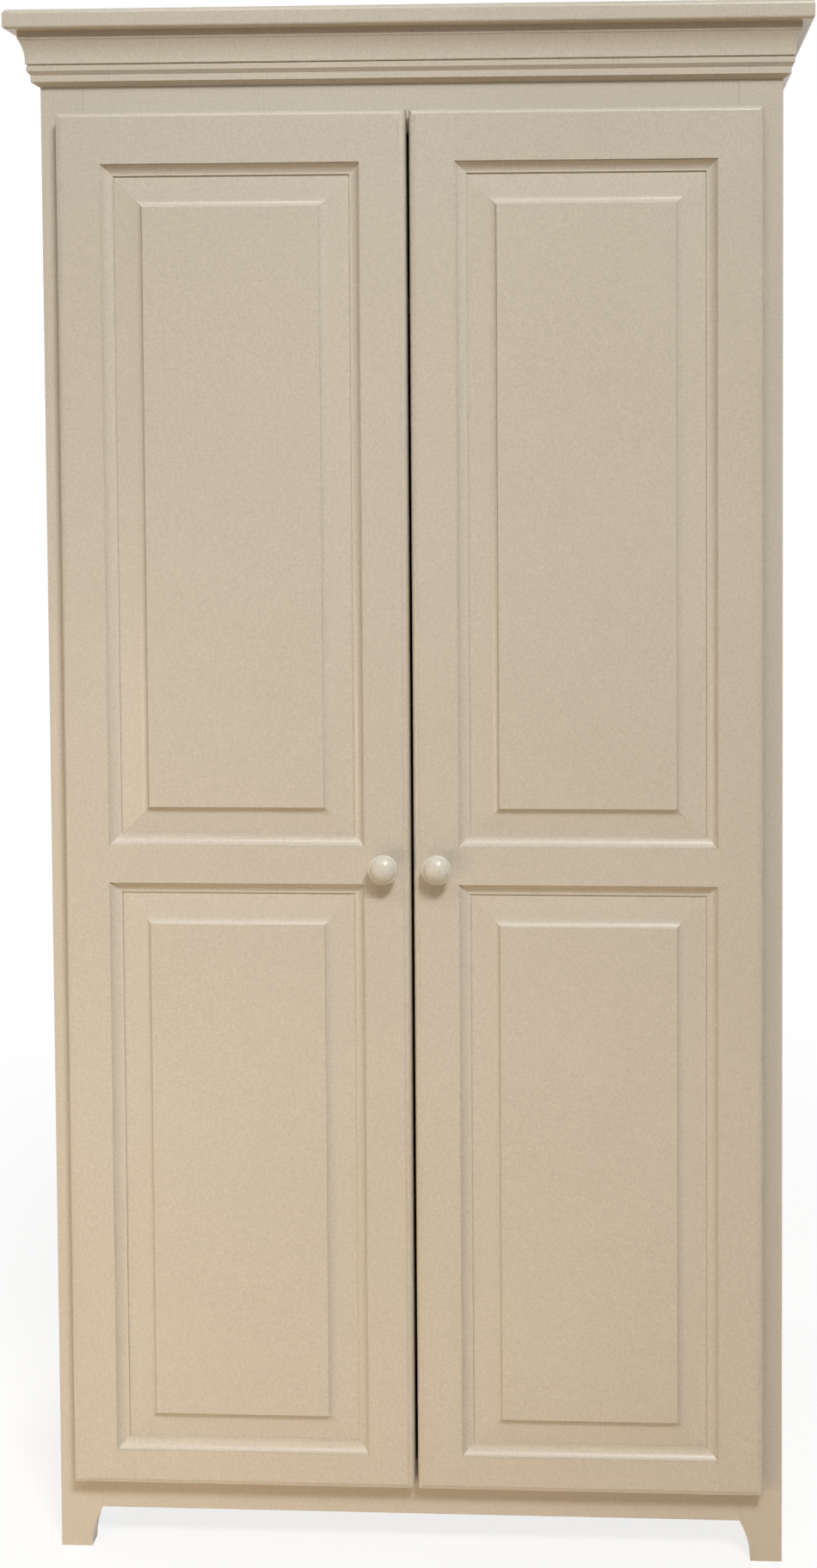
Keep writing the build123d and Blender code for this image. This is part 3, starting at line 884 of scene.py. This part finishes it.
    def on_points(self, sheet: NodeSheet, entry: bpy.types.NodeOutputs, whole: Socket) -> Socket:
        """Put a fastener on each point, each turned its own way about its axis.

        Args:
            sheet: the tree's sheet.
            entry: the tree's inputs.
            whole: the fastener.

        Returns:
            The instances.
        """
        way = sheet.add(
            "GeometryNodeInputNamedAttribute",
            {"Name": self.facing_attribute},
            data_type="FLOAT_VECTOR",
        )
        upright = sheet.add(
            "FunctionNodeAlignRotationToVector", {"Vector": way.outputs["Attribute"]}, axis="Z"
        )
        turn = sheet.add("FunctionNodeRandomValue", {"Max": math.pi / 2, "Seed": entry["Seed"]})
        spin = sheet.add(
            "FunctionNodeAxisAngleToRotation", {"Axis": (0.0, 0.0, 1.0), "Angle": turn.outputs[1]}
        )
        turned = sheet.add(
            "FunctionNodeRotateRotation",
            {"Rotation": upright.outputs[0], "Rotate By": spin.outputs[0]},
            rotation_space="LOCAL",
        )
        laid = sheet.add(
            "GeometryNodeInstanceOnPoints",
            {"Points": entry["Points"], "Instance": whole, "Rotation": turned.outputs[0]},
        )
        return laid.outputs[0]

    def make(
        self,
        name: str,
        seats: list[tuple[Vector, Vector]],
        shape: FastenerShape,
        finish: Finish,
        seed: int,
    ) -> bpy.types.Object:
        """Make one mesh of fasteners.

        Args:
            name: the piece's name.
            seats: the foot of each head, and the way that it faces.
            shape: the fasteners' sizes.
            finish: their finish.
            seed: what sets the turn of each.

        Returns:
            The finished object, at the origin.
        """
        points = bpy.data.meshes.new(f"{name}_points")
        points.from_pydata([place for place, _ in seats], [], [])
        facing = points.attributes.new(self.facing_attribute, "FLOAT_VECTOR", "POINT")
        facing.data.foreach_set("vector", [value for _, way in seats for value in way])
        draft = bpy.data.objects.new(f"{name}_draft", points)
        bpy.context.scene.collection.objects.link(draft)
        modifier = draft.modifiers.new(self.name, "NODES")
        modifier.node_group = self.tree()
        values = {label: getattr(shape, size) for label, size in self.sizes.items()}
        values |= {"Seed": seed, "Material": finish.material()}
        for socket in modifier.node_group.interface.items_tree:
            if socket.in_out == "INPUT" and socket.name in values:
                modifier[socket.identifier] = values[socket.name]
        bpy.context.view_layer.update()
        evaluated = draft.evaluated_get(bpy.context.evaluated_depsgraph_get())
        mesh = bpy.data.meshes.new_from_object(evaluated)
        bpy.data.objects.remove(draft)
        bpy.data.meshes.remove(points)
        mesh.name = name
        made = bpy.data.objects.new(name, mesh)
        bpy.context.scene.collection.objects.link(made)
        log.info("%s: %d fasteners, %d faces", name, len(seats), len(mesh.polygons))
        return made


FASTENERS = FastenerTree()


@dataclass(frozen=True)
class FastenerSet:
    """A group of fasteners that stand for a CAD node of plain ones."""

    node: str
    body: str
    facing: Facing
    finish: Finish
    slot: str
    head_height: float
    crown: float
    taper: float = 0.78
    slotted: bool = True
    seed: int = 7
    slot_length_share: float = 1.15
    slot_width_share: float = 0.26
    slot_depth_share: float = 0.75
    shank_share: float = 0.47

    def seats(self, boxes: list[Box]) -> list[tuple[Vector, Vector]]:
        """Find the foot of each head.

        Args:
            boxes: the boxes of the CAD solids.

        Returns:
            The place and the facing of each fastener.
        """
        found = []
        for low, high in boxes:
            middle = (low + high) / 2
            way = self.facing.direction(middle)
            half_length = abs((high - low).dot(way)) / 2
            found.append((middle + way * (half_length - self.head_height - self.crown), way))
        return found

    def build(self) -> None:
        """Make the fasteners and put them in the node's place."""
        boxes = solid_boxes(self.node)
        size = boxes[0][1] - boxes[0][0]
        radius = size.z / 2
        way = self.facing.direction(boxes[0][0])
        head = self.head_height + self.crown
        shape = FastenerShape(
            head_radius=radius,
            top_radius=radius * self.taper,
            head_height=self.head_height,
            crown=self.crown,
            slot_length=radius * self.slot_length_share,
            slot_width=radius * self.slot_width_share,
            slot_depth=head * self.slot_depth_share if self.slotted else 0.0,
            shank_radius=radius * self.shank_share,
            shank_length=abs(size.dot(way)) - head if self.slotted else 0.0,
        )
        seats = self.seats(boxes)
        piece = FASTENERS.make(f"{self.node}_dressed", seats, shape, self.finish, self.seed)
        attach(piece, self.body)
        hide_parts(self.node)


@dataclass
class Case:
    """The carcass, its crown and its face frame."""

    brad_spacing: float = 0.14
    brad_inset: float = 5 * MILLIMETRE
    brad_radius: float = 1.6 * MILLIMETRE
    brad_taper: float = 0.9
    brad_height: float = 0.2 * MILLIMETRE
    brad_crown: float = 0.1 * MILLIMETRE

    def build(self) -> None:
        """Dress the boards and nail the back."""
        for side in Side:
            dress(f"side_panel_{side.value}", PAINT_UPRIGHT, BOARD_EDGE)
            dress(f"crown_{side.value}", PAINT_DEEP)
            dress(f"frame_stile_{side.value}", PAINT_UPRIGHT, FRAME_EDGE)
        dress("top_board", PAINT_ACROSS)
        dress("crown_front", PAINT_ACROSS)
        for rail in ("frame_top_rail", "frame_bottom_rail"):
            dress(rail, PAINT_ACROSS, FRAME_EDGE)
        for rail in ("back_top_rail", "back_bottom_rail"):
            dress(rail, INSIDE_ACROSS, BOARD_EDGE)
        dress("bottom_panel", INSIDE_ACROSS, BOARD_EDGE)
        dress("back_panel", PLYWOOD)
        self.nail_back()

    def nail_back(self) -> None:
        """Put brads round the edge of the back."""
        low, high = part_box("back_panel")
        left, right = low.x + self.brad_inset, high.x - self.brad_inset
        bottom, top = low.z + self.brad_inset, high.z - self.brad_inset
        across = math.ceil((right - left) / self.brad_spacing)
        upright = math.ceil((top - bottom) / self.brad_spacing)
        places = [
            (left + (right - left) * step / across, edge)
            for step in range(across + 1)
            for edge in (bottom, top)
        ]
        places += [
            (edge, bottom + (top - bottom) * step / upright)
            for step in range(1, upright)
            for edge in (left, right)
        ]
        way = Facing.BACK.direction(high)
        seats = [(Vector((x, high.y, z)), way) for x, z in places]
        shape = FastenerShape(
            head_radius=self.brad_radius,
            top_radius=self.brad_radius * self.brad_taper,
            head_height=self.brad_height,
            crown=self.brad_crown,
        )
        brads = FASTENERS.make("back_brads", seats, shape, ZINC, seed=3)
        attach(brads, "case")


@dataclass
class HangingSpace:
    """The hat shelf, and the rod below it in its two sockets."""

    screw_head_height: float = 1.0 * MILLIMETRE
    screw_crown: float = 0.5 * MILLIMETRE

    def build(self) -> None:
        """Dress the shelf, its cleats, the rod and the sockets."""
        dress("hat_shelf", INSIDE_ACROSS, BOARD_EDGE)
        dress("clothes_rod", ROD_WOOD)
        for side in Side:
            dress(f"shelf_cleat_{side.value}", INSIDE_DEEP, BOARD_EDGE)
            dress(f"rod_socket_{side.value}", ZINC)
        screws = FastenerSet(
            "rod_socket_screws",
            "case",
            Facing.CENTRE,
            ZINC,
            "zinc",
            self.screw_head_height,
            self.screw_crown,
        )
        screws.build()


@dataclass
class Door:
    """One door: its framed panels, its knob, and its half of the hinges."""

    side: Side
    screw_head_height: float = 1.0 * MILLIMETRE
    screw_crown: float = 0.5 * MILLIMETRE
    knob_screw_head_height: float = 1.6 * MILLIMETRE
    knob_screw_crown: float = 0.8 * MILLIMETRE
    bumper_height: float = 1.6 * MILLIMETRE
    bumper_crown: float = 1.1 * MILLIMETRE

    def build(self) -> None:
        """Dress the wood, the knob and the hinges, and make the small fittings."""
        end = self.side.value
        for stile in ("hinge_stile", "meeting_stile"):
            dress(f"{stile}_{end}", PAINT_UPRIGHT)
        for panel in ("upper_panel", "lower_panel"):
            dress(f"{panel}_{end}", PAINT_UPRIGHT)
        for rail in ("door_top_rail", "door_lock_rail", "door_bottom_rail"):
            dress(f"{rail}_{end}", PAINT_ACROSS)
        dress(f"knob_{end}", KNOB_PAINT)
        dress(f"hinge_pins_{end}", ZINC)
        for place in ("top", "middle", "bottom"):
            dress(f"hinge_cup_{end}_{place}", HINGE_STEEL)
        self.build_fittings()

    def build_fittings(self) -> None:
        """Make the hinge screws, the knob's screw and the bumpers."""
        end, body = self.side.value, self.side.body
        cup_screws = FastenerSet(
            f"hinge_cup_screws_{end}",
            body,
            Facing.BACK,
            ZINC,
            "zinc",
            self.screw_head_height,
            self.screw_crown,
            seed=11,
        )
        knob_screw = FastenerSet(
            f"knob_screw_{end}",
            body,
            Facing.BACK,
            ZINC,
            "zinc",
            self.knob_screw_head_height,
            self.knob_screw_crown,
            seed=13,
        )
        bumpers = FastenerSet(
            f"bumpers_{end}",
            body,
            Facing.BACK,
            BUMPER_RUBBER,
            "bumper",
            self.bumper_height,
            self.bumper_crown,
            taper=0.86,
            slotted=False,
            seed=17,
        )
        for fittings in (cup_screws, knob_screw, bumpers):
            fittings.build()


@dataclass
class HingeArms:
    """The halves of the hinges that stay on the face frame."""

    screw_head_height: float = 1.0 * MILLIMETRE
    screw_crown: float = 0.5 * MILLIMETRE

    def build(self) -> None:
        """Dress the arms and make their screws."""
        for side in Side:
            for place in ("top", "middle", "bottom"):
                dress(f"hinge_arm_{side.value}_{place}", HINGE_STEEL)
        screws = FastenerSet(
            "hinge_arm_screws",
            "case",
            Facing.CENTRE,
            ZINC,
            "zinc",
            self.screw_head_height,
            self.screw_crown,
            seed=5,
        )
        screws.build()


@dataclass(frozen=True)
class SoftBox:
    """A rectangular studio lamp."""

    name: str
    place: Point
    aim: Point
    size: tuple[float, float]
    power: float
    colour: Colour = (1.0, 1.0, 1.0)
    spread: float = math.pi

    def build(self) -> None:
        """Hang the lamp and turn it to its aim."""
        lamp = bpy.data.lights.new(self.name, "AREA")
        lamp.shape = "RECTANGLE"
        lamp.size, lamp.size_y = self.size
        lamp.energy = self.power
        lamp.color = self.colour
        lamp.spread = self.spread
        holder = bpy.data.objects.new(self.name, lamp)
        holder.location = self.place
        throw = Vector(self.aim) - Vector(self.place)
        holder.rotation_euler = throw.to_track_quat("-Z", "Y").to_euler()
        bpy.context.scene.collection.objects.link(holder)


@dataclass(frozen=True)
class Viewpoint:
    """The camera, with its angles in radians and its focal length in pixels of the photograph."""

    eye: Point = (0.25, -2.191, 1.35)
    yaw: float = -0.0403
    pitch: float = -0.0365
    roll: float = -0.0038
    focal_pixels: float = 1950.7
    centre_across: float = 648.8
    centre_down: float = 563.9
    frame_width: float = 950.0
    frame_height: float = 1824.0
    sensor: float = 36.0

    def build(self) -> None:
        """Set up the camera and make it the scene's own."""
        lens = bpy.data.cameras.new("camera")
        lens.sensor_width = self.sensor
        lens.lens = self.focal_pixels / self.frame_height * self.sensor
        lens.shift_x = (self.frame_width / 2 - self.centre_across) / self.frame_height
        lens.shift_y = (self.centre_down - self.frame_height / 2) / self.frame_height
        ahead = Vector(
            (
                math.sin(self.yaw) * math.cos(self.pitch),
                math.cos(self.yaw) * math.cos(self.pitch),
                math.sin(self.pitch),
            )
        )
        level = Vector((math.cos(self.yaw), -math.sin(self.yaw), 0.0))
        above = level.cross(ahead)
        right = math.cos(self.roll) * level + math.sin(self.roll) * above
        up = right.cross(ahead)
        camera = bpy.data.objects.new("camera", lens)
        turn = Matrix((right, up, -ahead)).transposed().to_4x4()
        camera.matrix_world = Matrix.Translation(self.eye) @ turn
        bpy.context.scene.collection.objects.link(camera)
        bpy.context.scene.camera = camera


@dataclass
class Studio:
    """The pale floor, the white surroundings, the lamps and the camera."""

    floor_half_size: float = 8.0
    floor_colour: Colour = (0.84, 0.66, 0.46)
    shadow_share: float = 0.18
    fade_start: float = 0.8
    fade_end: float = 1.8
    ambient_colour: Colour = (1.0, 0.7, 0.4)
    ambient_strength: float = 0.055

    def build(self) -> None:
        """Set the stage."""
        bpy.context.scene.view_settings.view_transform = "Standard"
        self.lay_floor()
        self.surround()
        lamps = (
            SoftBox(
                "key_lamp",
                place=(1.34, -3.5, 4.47),
                aim=(-0.9, -0.3, 0.3),
                size=(1.2, 0.8),
                power=32.0,
                spread=1.2,
            ),
            SoftBox(
                "top_lamp",
                place=(-1.3, -4.3, 6.8),
                aim=(0.0, -0.25, 0.6),
                size=(1.6, 1.2),
                power=75.0,
            ),
            SoftBox(
                "low_lamp",
                place=(-1.9, -2.2, 0.45),
                aim=(-0.1, -0.25, 0.2),
                size=(1.2, 0.6),
                power=3.2,
                colour=(1.0, 0.77, 0.5),
                spread=1.2,
            ),
            SoftBox(
                "back_lamp",
                place=(1.6, 4.6, 4.2),
                aim=(0.0, 0.25, 0.9),
                size=(1.8, 1.4),
                power=160.0,
            ),
            SoftBox(
                "side_lamp",
                place=(-4.6, 1.2, 3.4),
                aim=(-0.4, 0.0, 0.9),
                size=(1.8, 1.4),
                power=60.0,
            ),
        )
        for lamp in lamps:
            lamp.build()
        Viewpoint().build()

    def seen(self, sheet: NodeSheet) -> Socket:
        """Tell rays that show a thing from rays that light by it.

        Args:
            sheet: a material's or the world's sheet.

        Returns:
            1 for a camera, glossy or transmitted ray, and 0 for others.
        """
        path = sheet.add("ShaderNodeLightPath").outputs
        mirrored = sheet.math("MAXIMUM", path["Is Glossy Ray"], path["Is Transmission Ray"])
        return sheet.math("MAXIMUM", path["Is Camera Ray"], mirrored)

    def lay_floor(self) -> None:
        """Lay a floor that keeps the shadow and fades to white away from the case."""
        half = self.floor_half_size
        mesh = bpy.data.meshes.new("floor")
        corners = [(-half, -half, 0.0), (half, -half, 0.0), (half, half, 0.0), (-half, half, 0.0)]
        mesh.from_pydata(corners, [], [(0, 1, 2, 3)])
        floor = bpy.data.objects.new("floor", mesh)
        bpy.context.scene.collection.objects.link(floor)
        material = bpy.data.materials.new("floor")
        material.use_nodes = True
        sheet = NodeSheet(material.node_tree)
        place = sheet.add("ShaderNodeTexCoord").outputs["Object"]
        away = sheet.add("ShaderNodeVectorMath", {0: place}, operation="LENGTH").outputs["Value"]
        share = sheet.remap(away, (self.fade_start, self.fade_end), (self.shadow_share, 0.0))
        matt = sheet.add("ShaderNodeBsdfDiffuse", {"Color": share})
        rest = sheet.math("SUBTRACT", 1.0, share)
        glow = sheet.add("ShaderNodeEmission", {"Color": rest, "Strength": 1.0})
        shown = sheet.add("ShaderNodeAddShader", {0: matt.outputs[0], 1: glow.outputs[0]})
        bounce = sheet.add("ShaderNodeBsdfDiffuse", {"Color": self.floor_colour})
        chosen = {0: self.seen(sheet), 1: bounce.outputs[0], 2: shown.outputs[0]}
        both = sheet.add("ShaderNodeMixShader", chosen)
        sheet.add("ShaderNodeOutputMaterial", {"Surface": both.outputs[0]})
        mesh.materials.append(material)

    def surround(self) -> None:
        """Make the surroundings white to look at, and a soft fill as light."""
        world = bpy.data.worlds.new("studio")
        world.use_nodes = True
        sheet = NodeSheet(world.node_tree)
        ambient = {"Color": self.ambient_colour, "Strength": self.ambient_strength}
        fill = sheet.add("ShaderNodeBackground", ambient)
        white = sheet.add("ShaderNodeBackground", {"Color": (1.0, 1.0, 1.0), "Strength": 1.0})
        chosen = {0: self.seen(sheet), 1: fill.outputs[0], 2: white.outputs[0]}
        both = sheet.add("ShaderNodeMixShader", chosen)
        sheet.add("ShaderNodeOutputWorld", {"Surface": both.outputs[0]})
        bpy.context.scene.world = world


def main() -> None:
    """Build the sub-assemblies in order, then the studio."""
    logging.basicConfig(level=logging.INFO, format="%(message)s")
    doors = (Door(Side.LEFT), Door(Side.RIGHT))
    for assembly in (Case(), HangingSpace(), HingeArms(), *doors, Studio()):
        assembly.build()
        log.info("built %s", type(assembly).__name__)


if __name__ == "__main__":
    main()
